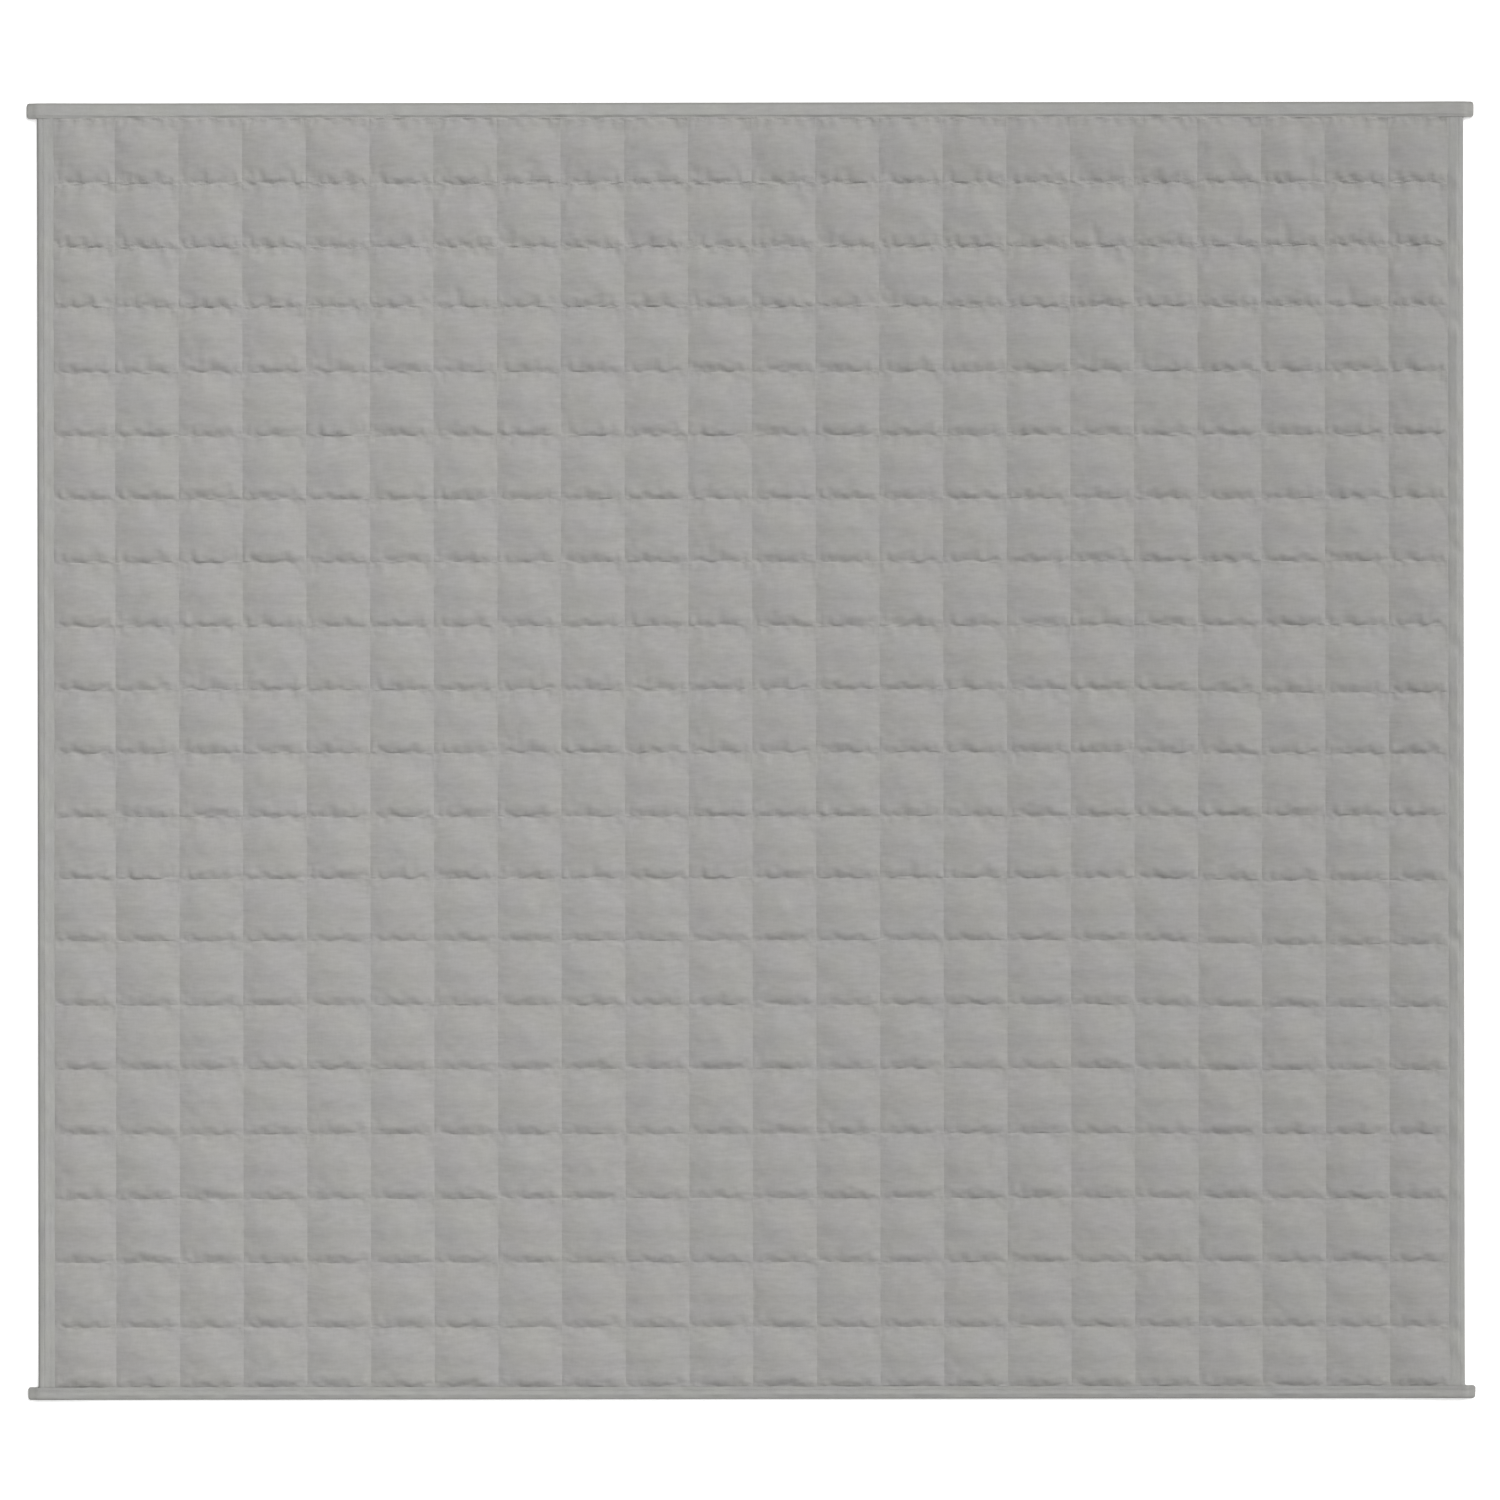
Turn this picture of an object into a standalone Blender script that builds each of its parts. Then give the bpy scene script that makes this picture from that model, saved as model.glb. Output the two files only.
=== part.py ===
"""A quilted weighted blanket, laid flat with its head towards +Y and its face up.

The body is one filled quilt of 22 by 20 sewn cells. Its columns are sewn first, then each row is filled
and closed, so the seams between columns are straight and those between rows sag a little in each cell.
A folded tape binds each raw edge. The two side tapes go on first, and the head and foot tapes cover
their ends and stand out a little past the sides. The origin is under the middle of the blanket, at the
level that it lies on.
"""

from math import cos, pi, sin

import bmesh
import bpy

# Driving sizes, in metres.
BLANKET_WIDTH = 2.200  # across the columns, fold to fold
BLANKET_LENGTH = 2.000  # down the rows, fold to fold
COLUMNS = 22
ROWS = 20
COLUMN_PITCH = 0.0982
COLUMN_SHIFT = 0.002  # the whole set of column seams sits this far to the right
SIDE_TAPE_WIDTH = 0.026
HEAD_TAPE_WIDTH = 0.024
FOOT_TAPE_WIDTH = 0.020
TAPE_END = 0.016  # how far the head and foot tapes stand out past each side
TAPE_THICKNESS = 0.001
GAP = 0.0003  # between pieces that touch

# The quilt's thickness at its sewn and filled places.
CROWN = 0.012  # top of a filled cell
SHOULDER = 0.0098  # top of the fill near a cell's corners
SEAM_UNDER = 0.0016  # underside of a seam, lifted off the floor by the fill beside it
SEAM_TOP = 0.0036
SEAM_MIDDLE_RISE = 0.0004  # the row seams ride up this much between two column seams
MARGIN_THICKNESS = 0.0024  # the flat edge that lies inside the tapes

# Where a cell's fill begins, as shares of the cell's width or height.
SHOULDER_INSET = 0.19
UNDERSIDE_INSET = 0.14
CREST_DROP = 0.05  # the fill settles towards the foot of each cell
ROW_SEAM_SAG = 0.002  # a row seam's middle hangs this far below its ends

# The tapes' cross-section.
TAPE_CREST = 0.0008  # how far the folded tape puffs up over the raw edge
PRESSED_CREST = 0.0001  # the same, where the head and foot tapes are sewn over the side tapes
CREST_PLACE = 0.52  # share of the tape's width from its sewn edge
FOLD_STEPS = 4
END_CORNER = 0.005  # how far the rounding of a tape's end reaches in from its tip
END_CORNER_STEPS = 3
END_THICKNESS = 0.0046  # the folded-in end, at its tip
SEAMS_PER_STATION = 2

# The seams between rows, from the head down. drift is how far a seam lies below its even place, and
# right_drop how much further down it runs over the four columns on the right, both in millimetres.
ROW_SEAMS = (
    {"drift": 2.5, "right_drop": 0.0},
    {"drift": 2.6, "right_drop": -1.5},
    {"drift": -2.6, "right_drop": 0.0},
    {"drift": 0.0, "right_drop": 0.0},
    {"drift": 0.2, "right_drop": 0.0},
    {"drift": 0.3, "right_drop": 0.0},
    {"drift": -0.2, "right_drop": 0.0},
    {"drift": 0.8, "right_drop": 0.0},
    {"drift": 0.9, "right_drop": 6.0},
    {"drift": 0.4, "right_drop": 3.0},
    {"drift": 0.9, "right_drop": 0.0},
    {"drift": -1.2, "right_drop": 4.6},
    {"drift": -3.4, "right_drop": 7.7},
    {"drift": -1.9, "right_drop": 4.6},
    {"drift": -0.9, "right_drop": 3.0},
    {"drift": 1.5, "right_drop": 1.5},
    {"drift": 3.1, "right_drop": 1.5},
    {"drift": 4.0, "right_drop": 0.0},
    {"drift": 6.0, "right_drop": 0.0},
)
DROP_COLUMN = 18  # the column seam where the right-hand drop is halfway down
MM = 0.001

# Heights and places that follow from the sizes above.
TAPE_HEIGHT = MARGIN_THICKNESS + 2 * (GAP + TAPE_THICKNESS)
MARGIN_LIFT = TAPE_THICKNESS + GAP  # one layer of tape under the quilt's edge
CORNER_TAPE_HEIGHT = TAPE_HEIGHT + 2 * (GAP + TAPE_THICKNESS)
SIDE_EDGE = BLANKET_WIDTH / 2
END_EDGE = BLANKET_LENGTH / 2
SIDE_INNER = SIDE_EDGE - SIDE_TAPE_WIDTH
HEAD_INNER = END_EDGE - HEAD_TAPE_WIDTH
FOOT_INNER = -END_EDGE + FOOT_TAPE_WIDTH
ROW_PITCH = (HEAD_INNER - FOOT_INNER) / ROWS
MARGIN_SIDE = SIDE_EDGE - TAPE_HEIGHT / 2 - GAP
MARGIN_HEAD = END_EDGE - CORNER_TAPE_HEIGHT / 2 - GAP
MARGIN_FOOT = -MARGIN_HEAD

# Colours as linear RGB, for a grey cotton face and a tape of the same cloth.
QUILT_GREY = (0.36, 0.355, 0.345, 1.0)
TAPE_GREY = (0.37, 0.37, 0.355, 1.0)
CLOTH_ROUGHNESS = 0.95


def clear_scene():
    for old in list(bpy.data.objects):
        bpy.data.objects.remove(old, do_unlink=True)


def cloth_material(name, colour):
    """A matt woven cloth."""
    material = bpy.data.materials.new(name)
    material.use_nodes = True
    shader = material.node_tree.nodes["Principled BSDF"]
    shader.inputs["Base Color"].default_value = colour
    shader.inputs["Roughness"].default_value = CLOTH_ROUGHNESS
    shader.inputs["Metallic"].default_value = 0.0
    return material


def solid_object(name, points, faces, material):
    """One closed body, its faces turned outwards."""
    mesh = bpy.data.meshes.new(name)
    mesh.from_pydata(points, [], faces)
    work = bmesh.new()
    work.from_mesh(mesh)
    bmesh.ops.recalc_face_normals(work, faces=work.faces)
    work.to_mesh(mesh)
    work.free()
    mesh.materials.append(material)
    mesh.shade_smooth()
    mesh.set_sharp_from_angle(angle=pi / 5)
    obj = bpy.data.objects.new(name, mesh)
    bpy.context.scene.collection.objects.link(obj)
    return obj


# ---------------------------------------------------------------- the seams' places


def column_seam(i):
    """x of column seam i, counted from the left. The first and the last are the side tapes' sewn edges."""
    if i == 0:
        return -SIDE_INNER
    if i == COLUMNS:
        return SIDE_INNER
    return (i - COLUMNS / 2) * COLUMN_PITCH + COLUMN_SHIFT


def row_seam(j, i):
    """y of row seam j, counted from the head, where it meets column seam i."""
    even = HEAD_INNER - j * ROW_PITCH
    if j in (0, ROWS):
        return even
    seam = ROW_SEAMS[j - 1]
    dropped = min(max((i - DROP_COLUMN + 1) / 2, 0.0), 1.0)
    return even - (seam["drift"] + seam["right_drop"] * dropped) * MM


def fill_share(i, j):
    """How full cell (i, j) is, near 1. Two waves that don't line up with the grid make it uneven."""
    return 1 + 0.05 * sin(2.3 * i + 1.1 * j) + 0.04 * sin(1.7 * j - 0.9 * i)


# ---------------------------------------------------------------- the quilt


class Skin:
    """Points with names, and the faces between them."""

    def __init__(self):
        self.points = []
        self.faces = []
        self.number = {}

    def point(self, key, x, y, z):
        self.number[key] = len(self.points)
        self.points.append((x, y, z))

    def face(self, *keys):
        self.faces.append([self.number[key] for key in keys])


def edge_lift(i, j):
    """How far tapes under the seam crossing (i, j) lift the quilt's edge: one layer at an edge, two at a corner."""
    return MARGIN_LIFT * ((i in (0, COLUMNS)) + (j in (0, ROWS)))


def add_crossings(skin):
    """The top and underside where seams cross, and where they run in under the tapes."""
    for i in range(COLUMNS + 1):
        for j in range(ROWS + 1):
            x, y, lift = column_seam(i), row_seam(j, i), edge_lift(i, j)
            under = lift or SEAM_UNDER
            top = lift + MARGIN_THICKNESS if lift else SEAM_TOP
            skin.point(("top", i, j), x, y, top)
            skin.point(("under", i, j), x, y, under)


def add_cell(skin, i, j):
    """Cell (i, j): on top a crown, four shoulders and four slopes to the seams, below a flat and four slopes."""
    left, right = column_seam(i), column_seam(i + 1)
    head = (row_seam(j, i) + row_seam(j, i + 1)) / 2
    foot = (row_seam(j + 1, i) + row_seam(j + 1, i + 1)) / 2
    width, height = right - left, head - foot
    full = fill_share(i, j)
    corners = ((0, 0), (1, 0), (1, 1), (0, 1))  # head left, head right, foot right, foot left
    for layer, inset, level in (("top", SHOULDER_INSET, SHOULDER * full), ("under", UNDERSIDE_INSET, 0.0)):
        for across, down in corners:
            x = left + width * (inset if across == 0 else 1 - inset)
            y = row_seam(j + down, i + across) + height * inset * (1 if down else -1)
            skin.point((layer, "ring", i, j, across, down), x, y, level)
    middle = ("crown", i, j)
    skin.point(middle, left + width / 2, (head + foot) / 2 - height * CREST_DROP, CROWN * full)
    for (a, b), (c, d) in zip(corners, corners[1:] + corners[:1]):
        seam_start, seam_end = ("top", i + a, j + b), ("top", i + c, j + d)
        ring_start, ring_end = ("top", "ring", i, j, a, b), ("top", "ring", i, j, c, d)
        seam_middle = ("middle", i, j + b)
        if b == d and seam_middle in skin.number:  # along a row seam
            skin.face(seam_start, seam_middle, ring_start)
            skin.face(seam_middle, ring_end, ring_start)
            skin.face(seam_middle, seam_end, ring_end)
        else:
            skin.face(seam_start, seam_end, ring_end, ring_start)
        skin.face(ring_start, ring_end, middle)
        skin.face(
            ("under", i + a, j + b), ("under", i + c, j + d),
            ("under", "ring", i, j, c, d), ("under", "ring", i, j, a, b),
        )
    skin.face(*(("under", "ring", i, j, a, b) for a, b in corners))


def add_margin(skin):
    """The flat edge of the quilt that lies inside the tapes, all the way round."""
    loop = [(i, 0) for i in range(COLUMNS)] + [(COLUMNS, j) for j in range(ROWS)]
    loop += [(i, ROWS) for i in range(COLUMNS, 0, -1)] + [(0, j) for j in range(ROWS, 0, -1)]
    rim = []
    for i, j in loop:
        out_x = {0: -MARGIN_SIDE, COLUMNS: MARGIN_SIDE}.get(i)
        out_y = {0: MARGIN_HEAD, ROWS: MARGIN_FOOT}.get(j)
        places = [(out_x, None)] if out_x is not None else []
        places += [(out_x, out_y)] if out_x is not None and out_y is not None else []
        places += [(None, out_y)] if out_y is not None else []
        clockwise_start = (i, j) in ((COLUMNS, 0), (0, ROWS))
        for x, y in reversed(places) if clockwise_start else places:
            x = column_seam(i) if x is None else x
            y = row_seam(j, i) if y is None else y
            key = ("rim", len(rim))
            skin.point(("top", *key), x, y, edge_lift(i, j) + MARGIN_THICKNESS)
            skin.point(("under", *key), x, y, edge_lift(i, j))
            rim.append((key, (i, j)))
    for (outer_a, inner_a), (outer_b, inner_b) in zip(rim, rim[1:] + rim[:1]):
        for layer in ("top", "under"):
            inner = [(layer, *inner_a)] + ([(layer, *inner_b)] if inner_b != inner_a else [])
            skin.face((layer, *outer_b), (layer, *outer_a), *inner)
        skin.face(("top", *outer_a), ("top", *outer_b), ("under", *outer_b), ("under", *outer_a))


def make_quilt(material):
    """The filled body, one piece from the face cloth to the back cloth."""
    skin = Skin()
    add_crossings(skin)
    for j in range(1, ROWS):
        for i in range(COLUMNS):
            x = (column_seam(i) + column_seam(i + 1)) / 2
            y = (row_seam(j, i) + row_seam(j, i + 1)) / 2 - ROW_SEAM_SAG
            skin.point(("middle", i, j), x, y, SEAM_TOP + SEAM_MIDDLE_RISE)
    for i in range(COLUMNS):
        for j in range(ROWS):
            add_cell(skin, i, j)
    add_margin(skin)
    return solid_object("quilt", skin.points, skin.faces, material)


# ---------------------------------------------------------------- the tapes


def tape_section(width, height, crest, lift):
    """Outer and inner outline of a folded tape, as (distance from the sewn edge, height) pairs, from the lower leaf
    round the fold to the upper leaf. The fold is a half circle as high as the tape."""

    def outline(skin):
        radius = height / 2 - skin
        fold_x = width - height / 2
        points = [(0.0, lift + skin)]
        for step in range(FOLD_STEPS + 1):
            turn = pi * (step / FOLD_STEPS - 0.5)
            points.append((fold_x + radius * cos(turn), lift + height / 2 + radius * sin(turn)))
        points.append((width * CREST_PLACE, lift + height + crest - skin))
        points.append((0.0, lift + height - skin))
        return points

    return outline(0.0), outline(TAPE_THICKNESS)


def make_tape(name, stations, place, material):
    """A tape folded over the quilt's edge. Each station has its place along the tape, its section, and whether
    the channel for the quilt runs through it. place turns (along, across, up) into a point."""
    points, faces, rings = [], [], []
    for station in stations:
        outer, inner = tape_section(station["width"], station["height"], station["crest"], station["lift"])
        ring = []
        for outline in (outer, inner):
            ring.append(range(len(points), len(points) + len(outline)))
            # The rounded corners of an end draw the whole section in from its sewn edge.
            points += [place(station["along"], station["start"] + across, up) for across, up in outline]
        rings.append((ring[0], ring[1], station["open"]))
    last = len(rings[0][0]) - 1
    for (outer_a, inner_a, open_a), (outer_b, inner_b, open_b) in zip(rings, rings[1:]):
        channel = open_a and open_b
        for k in range(last):
            faces.append((outer_a[k], outer_a[k + 1], outer_b[k + 1], outer_b[k]))
            if channel:
                faces.append((inner_a[k], inner_b[k], inner_b[k + 1], inner_a[k + 1]))
        for k in (0, last):
            faces.append((outer_a[k], outer_b[k], inner_b[k], inner_a[k]))
        if not channel:
            faces.append((inner_a[0], inner_b[0], inner_b[last], inner_a[last]))
        if open_a != open_b:  # the wall that ends the channel
            faces.append(tuple(inner_a if open_a else inner_b))
    for outer, inner, is_open in (rings[0], rings[-1]):
        if is_open:
            faces += [(outer[k], outer[k + 1], inner[k + 1], inner[k]) for k in range(last)]
        else:
            faces.append((*outer, inner[last], inner[0]))
    used = sorted({k for face in faces for k in face})
    renumber = {old: new for new, old in enumerate(used)}
    points = [points[k] for k in used]
    faces = [[renumber[k] for k in face] for face in faces]
    return solid_object(name, points, faces, material)


def station(along, width, height=TAPE_HEIGHT, crest=TAPE_CREST, lift=0.0, start=0.0, is_open=True):
    return {
        "along": along, "width": width, "height": height, "crest": crest,
        "lift": lift, "start": start, "open": is_open,
    }


def side_stations():
    """The side tape from foot to head. Both ends ride up onto the head and foot tapes' lower leaves."""
    def pressed(y):
        return station(y, SIDE_TAPE_WIDTH, crest=0.0, lift=MARGIN_LIFT)

    middle = [row_seam(j, 0) for j in range(ROWS - 1, 0, -SEAMS_PER_STATION)]
    return (
        [pressed(MARGIN_FOOT), pressed(FOOT_INNER)]
        + [station(y, SIDE_TAPE_WIDTH) for y in middle]
        + [pressed(HEAD_INNER), pressed(MARGIN_HEAD)]
    )


def end_stations(width):
    """The head or foot tape from left to right: a closed folded end, the corner over the side tape, the long run,
    and the same again."""
    def closed_end(side):
        tip = SIDE_EDGE + TAPE_END
        found = []
        for step in range(END_CORNER_STEPS + 1):
            turn = pi / 2 * step / END_CORNER_STEPS
            inward = END_CORNER * (1 - sin(turn))
            found.append(station(
                side * (tip - END_CORNER * (1 - cos(turn))), width - 2 * inward,
                height=END_THICKNESS, crest=PRESSED_CREST, start=inward, is_open=False,
            ))
        return found

    def corner(along, is_open=True):
        return station(along, width, height=CORNER_TAPE_HEIGHT, crest=PRESSED_CREST, is_open=is_open)

    run = [station(column_seam(i), width) for i in range(1, COLUMNS, SEAMS_PER_STATION)]
    left = closed_end(-1) + [corner(-SIDE_EDGE - GAP), corner(-SIDE_INNER)]
    right = closed_end(1) + [corner(SIDE_EDGE + GAP), corner(SIDE_INNER)]
    return left + run + right[::-1]


def make_tapes(material):
    sides = side_stations()
    make_tape("binding_left", sides, lambda s, a, z: (-SIDE_INNER - a, s, z), material)
    make_tape("binding_right", sides, lambda s, a, z: (SIDE_INNER + a, s, z), material)
    make_tape("binding_head", end_stations(HEAD_TAPE_WIDTH), lambda s, a, z: (s, HEAD_INNER + a, z), material)
    make_tape("binding_foot", end_stations(FOOT_TAPE_WIDTH), lambda s, a, z: (s, FOOT_INNER - a, z), material)


def main():
    clear_scene()
    make_quilt(cloth_material("quilt_cloth", QUILT_GREY))
    make_tapes(cloth_material("binding_tape", TAPE_GREY))


main()
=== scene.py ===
# %% [markdown]
# # A weighted blanket, spread out flat
#
# The real thing is two cotton sheets, sewn together into 22 channels from head to foot. Glass beads and
# wadding go in one row at a time, and a seam across closes each row, so the blanket ends as a grid of
# 22 by 20 little cushions. A folded tape covers the raw edge. This lesson makes its looks around the
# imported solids: first the camera and the light, then the cushions, the tape, the stitches and the cloth.

from math import pi, radians

import bmesh
import bpy
import numpy as np
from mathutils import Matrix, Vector


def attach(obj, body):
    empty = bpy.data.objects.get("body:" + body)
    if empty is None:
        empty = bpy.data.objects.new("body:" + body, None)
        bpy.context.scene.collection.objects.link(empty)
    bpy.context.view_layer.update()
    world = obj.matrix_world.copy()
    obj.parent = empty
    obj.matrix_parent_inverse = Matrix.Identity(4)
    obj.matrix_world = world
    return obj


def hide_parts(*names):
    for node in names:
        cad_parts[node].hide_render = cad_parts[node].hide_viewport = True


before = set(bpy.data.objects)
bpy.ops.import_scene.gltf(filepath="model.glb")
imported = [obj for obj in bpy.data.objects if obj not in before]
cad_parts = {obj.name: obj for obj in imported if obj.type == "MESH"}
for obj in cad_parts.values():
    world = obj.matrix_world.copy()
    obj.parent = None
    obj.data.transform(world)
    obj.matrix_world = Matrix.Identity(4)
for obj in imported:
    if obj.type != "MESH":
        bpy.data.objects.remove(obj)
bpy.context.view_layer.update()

# %% [markdown]
# ## Camera
# The photograph is taken from straight above. A long lens high up keeps the far edges as wide as the
# near ones. Its height follows from the scale of the photograph: a frame of 1500 pixels takes in 2.31 m.
# The blanket lies a twelfth of a degree askew there, so the camera is turned by that much.

# %% Look straight down
PHOTO_PIXELS = 1500
PIXELS_PER_METRE = 648.0
BLANKET_CENTRE = (750.95, 750.7)  # where the blanket's middle is in the photograph, in pixels
LENS_MM, SENSOR_MM = 85.0, 36.0
TILT = radians(-0.08)

camera_data = bpy.data.cameras.new("camera")
camera_data.lens = LENS_MM
camera_data.sensor_width = SENSOR_MM
camera = bpy.data.objects.new("camera", camera_data)
camera.location = (
    (PHOTO_PIXELS / 2 - BLANKET_CENTRE[0]) / PIXELS_PER_METRE,
    (BLANKET_CENTRE[1] - PHOTO_PIXELS / 2) / PIXELS_PER_METRE,
    PHOTO_PIXELS / PIXELS_PER_METRE * LENS_MM / SENSOR_MM,
)
camera.rotation_euler = (0, 0, TILT)
bpy.context.scene.collection.objects.link(camera)
bpy.context.scene.camera = camera
print("camera is", round(camera.location.z, 2), "m up")

# %% [markdown]
# ## Light and floor
# Soft relief needs light that comes from one side. A wide sun, fairly low on the upper right, draws the
# cushions. A white sky, brightest overhead as under a big softbox, fills the folds but leaves the rims of
# the tape darker. Two long strip lamps run from head to foot: the stronger one over the left half, which
# is the brighter half in the photograph, and a weak one over the right edge. The floor is white and glows
# a little, like a light table, so that almost no shadow shows round the blanket, as in the photograph.
# The camera sees the sky as plain white.

# %% Sky, sun, lamps and floor
SKY_LOW, SKY_OVERHEAD = 0.17, 0.66  # strength at the horizon, and what is added straight above
SUN_STRENGTH = 2.9
SUN_SPREAD = radians(24)
SUN_FROM = (0.74, 0.86, 0.84)  # towards the sun: right, up the picture, up
SUN_DISTANCE = 5
LAMPS = (("lamp_left", -0.75, 9.35), ("lamp_right", 1.0, 2.8))  # name, place across, watts
LAMP_HEIGHT, LAMP_ACROSS, LAMP_ALONG = 1.5, 0.5, 4.0
FLOOR_SIDE = 60.0
FLOOR_DROP = 0.0003  # the floor lies this far below the blanket, so that the two never flicker
FLOOR_WHITE = (0.95, 0.95, 0.945, 1.0)
FLOOR_ROUGHNESS, FLOOR_GLOW = 0.9, 0.3
WHITE = (1.0, 1.0, 1.0, 1.0)

scene = bpy.context.scene
scene.view_settings.view_transform = "Standard"
world = bpy.data.worlds.new("studio")
world.use_nodes = True
scene.world = world
studio = world.node_tree
sky = studio.nodes["Background"]
sky.inputs["Color"].default_value = WHITE
direction = studio.nodes.new("ShaderNodeTexCoord")
split = studio.nodes.new("ShaderNodeSeparateXYZ")
squared = studio.nodes.new("ShaderNodeMath")
squared.operation = "MULTIPLY"
dome = studio.nodes.new("ShaderNodeMath")
dome.operation = "MULTIPLY_ADD"
dome.inputs[1].default_value, dome.inputs[2].default_value = SKY_OVERHEAD, SKY_LOW
backdrop = studio.nodes.new("ShaderNodeBackground")
backdrop.inputs["Color"].default_value = WHITE
ray = studio.nodes.new("ShaderNodeLightPath")
either = studio.nodes.new("ShaderNodeMixShader")
for start, end in (
    (direction.outputs["Generated"], split.inputs[0]),
    (split.outputs["Z"], squared.inputs[0]), (split.outputs["Z"], squared.inputs[1]),
    (squared.outputs[0], dome.inputs[0]), (dome.outputs[0], sky.inputs["Strength"]),
    (ray.outputs["Is Camera Ray"], either.inputs[0]),
    (sky.outputs[0], either.inputs[1]), (backdrop.outputs[0], either.inputs[2]),
    (either.outputs[0], studio.nodes["World Output"].inputs["Surface"]),
):
    studio.links.new(start, end)


def add_light(name, kind, place, aim, **settings):
    """A light at place that points at aim."""
    data = bpy.data.lights.new(name, kind)
    for setting, value in settings.items():
        setattr(data, setting, value)
    light = bpy.data.objects.new(name, data)
    place, aim = np.array(place, float), np.array(aim, float)
    light.location = place
    light.rotation_mode = "QUATERNION"
    light.rotation_quaternion = Vector(aim - place).to_track_quat("-Z", "Y")
    light.visible_camera = False
    scene.collection.objects.link(light)


sun_place = np.array(SUN_FROM) * SUN_DISTANCE
add_light("sun", "SUN", sun_place, (0, 0, 0), energy=SUN_STRENGTH, angle=SUN_SPREAD)
for name, place_across, watts in LAMPS:
    add_light(name, "AREA", (place_across, 0, LAMP_HEIGHT), (place_across, 0, 0),
              energy=watts, shape="RECTANGLE", size=LAMP_ACROSS, size_y=LAMP_ALONG)

floor_mesh = bpy.data.meshes.new("floor")
half = FLOOR_SIDE / 2
floor_corners = [(x, y, -FLOOR_DROP) for x, y in ((-half, -half), (half, -half), (half, half), (-half, half))]
floor_mesh.from_pydata(floor_corners, [], [(0, 1, 2, 3)])
floor = bpy.data.objects.new("floor", floor_mesh)
scene.collection.objects.link(floor)
paper = bpy.data.materials.new("paper_floor")
paper.use_nodes = True
paper_shader = paper.node_tree.nodes["Principled BSDF"]
paper_shader.inputs["Base Color"].default_value = FLOOR_WHITE
paper_shader.inputs["Roughness"].default_value = FLOOR_ROUGHNESS
paper_shader.inputs["Emission Color"].default_value = FLOOR_WHITE
paper_shader.inputs["Emission Strength"].default_value = FLOOR_GLOW
floor_mesh.materials.append(paper)
print("studio: sky", SKY_LOW, "to", SKY_LOW + SKY_OVERHEAD, "sun", SUN_STRENGTH, "lamps", LAMPS)

# %% [markdown]
# ## The sewing grid
# Every piece hangs on the same grid of seams, so it comes first. The column seams are straight and even.
# The row seams were sewn by hand over the filled channels, so each drifts a few millimetres, and over the
# four columns on the right some run lower. These are the same numbers that the solids are made from; only
# the sag of a seam between two columns is less here, because the fine folds below already show it.

# %% Seams and sizes, in metres
MM = 0.001
BLANKET_WIDTH, BLANKET_LENGTH = 2.200, 2.000
COLUMNS, ROWS = 22, 20
COLUMN_PITCH, COLUMN_SHIFT = 0.0982, 0.002
SIDE_TAPE_WIDTH, HEAD_TAPE_WIDTH, FOOT_TAPE_WIDTH = 0.026, 0.024, 0.020
TAPE_END = 0.016  # how far the head and foot tapes stand out past the sides
TAPE_THICKNESS, GAP = 0.001, 0.0003
SEAM_TOP, SEAM_UNDER = 0.0036, 0.0016  # how high the face and the underside are at a seam
MARGIN_THICKNESS = 0.0024  # of the flat edge that lies inside the tapes
SEAM_SAG = 0.0005
DROP_COLUMN = 18  # the column seam where the drop on the right is halfway down
TINY = 1e-6
# For each row seam, in millimetres: how far it lies too low, and how much lower still on the right
ROW_DRIFT = (
    2.5, 2.6, -2.6, 0.0, 0.2, 0.3, -0.2, 0.8, 0.9, 0.4, 0.9, -1.2, -3.4, -1.9, -0.9, 1.5, 3.1, 4.0, 6.0,
)
RIGHT_DROP = (
    0.0, -1.5, 0.0, 0.0, 0.0, 0.0, 0.0, 0.0, 6.0, 3.0, 0.0, 4.6, 7.7, 4.6, 3.0, 1.5, 1.5, 0.0, 0.0,
)

TAPE_HEIGHT = MARGIN_THICKNESS + 2 * (GAP + TAPE_THICKNESS)
MARGIN_LIFT = TAPE_THICKNESS + GAP
CORNER_TAPE_HEIGHT = TAPE_HEIGHT + 2 * MARGIN_LIFT
SIDE_EDGE, END_EDGE = BLANKET_WIDTH / 2, BLANKET_LENGTH / 2
SIDE_INNER = SIDE_EDGE - SIDE_TAPE_WIDTH
HEAD_INNER = END_EDGE - HEAD_TAPE_WIDTH
FOOT_INNER = -END_EDGE + FOOT_TAPE_WIDTH
ROW_PITCH = (HEAD_INNER - FOOT_INNER) / ROWS
MARGIN_SIDE = SIDE_EDGE - TAPE_HEIGHT / 2 - GAP
MARGIN_END = END_EDGE - CORNER_TAPE_HEIGHT / 2 - GAP

column_seams = (np.arange(COLUMNS + 1) - COLUMNS / 2) * COLUMN_PITCH + COLUMN_SHIFT
column_seams[[0, -1]] = -SIDE_INNER, SIDE_INNER
drift, right_drop = (np.array([0.0, *row_seam, 0.0]) * MM for row_seam in (ROW_DRIFT, RIGHT_DROP))
dropped = np.clip((np.arange(COLUMNS + 1) - DROP_COLUMN + 1) / 2, 0, 1)
row_seams = (HEAD_INNER - np.arange(ROWS + 1) * ROW_PITCH - drift)[:, None] - np.outer(right_drop, dropped)
print("cells are", round(COLUMN_PITCH / MM, 1), "by", round(ROW_PITCH / MM, 1), "mm")

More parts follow.
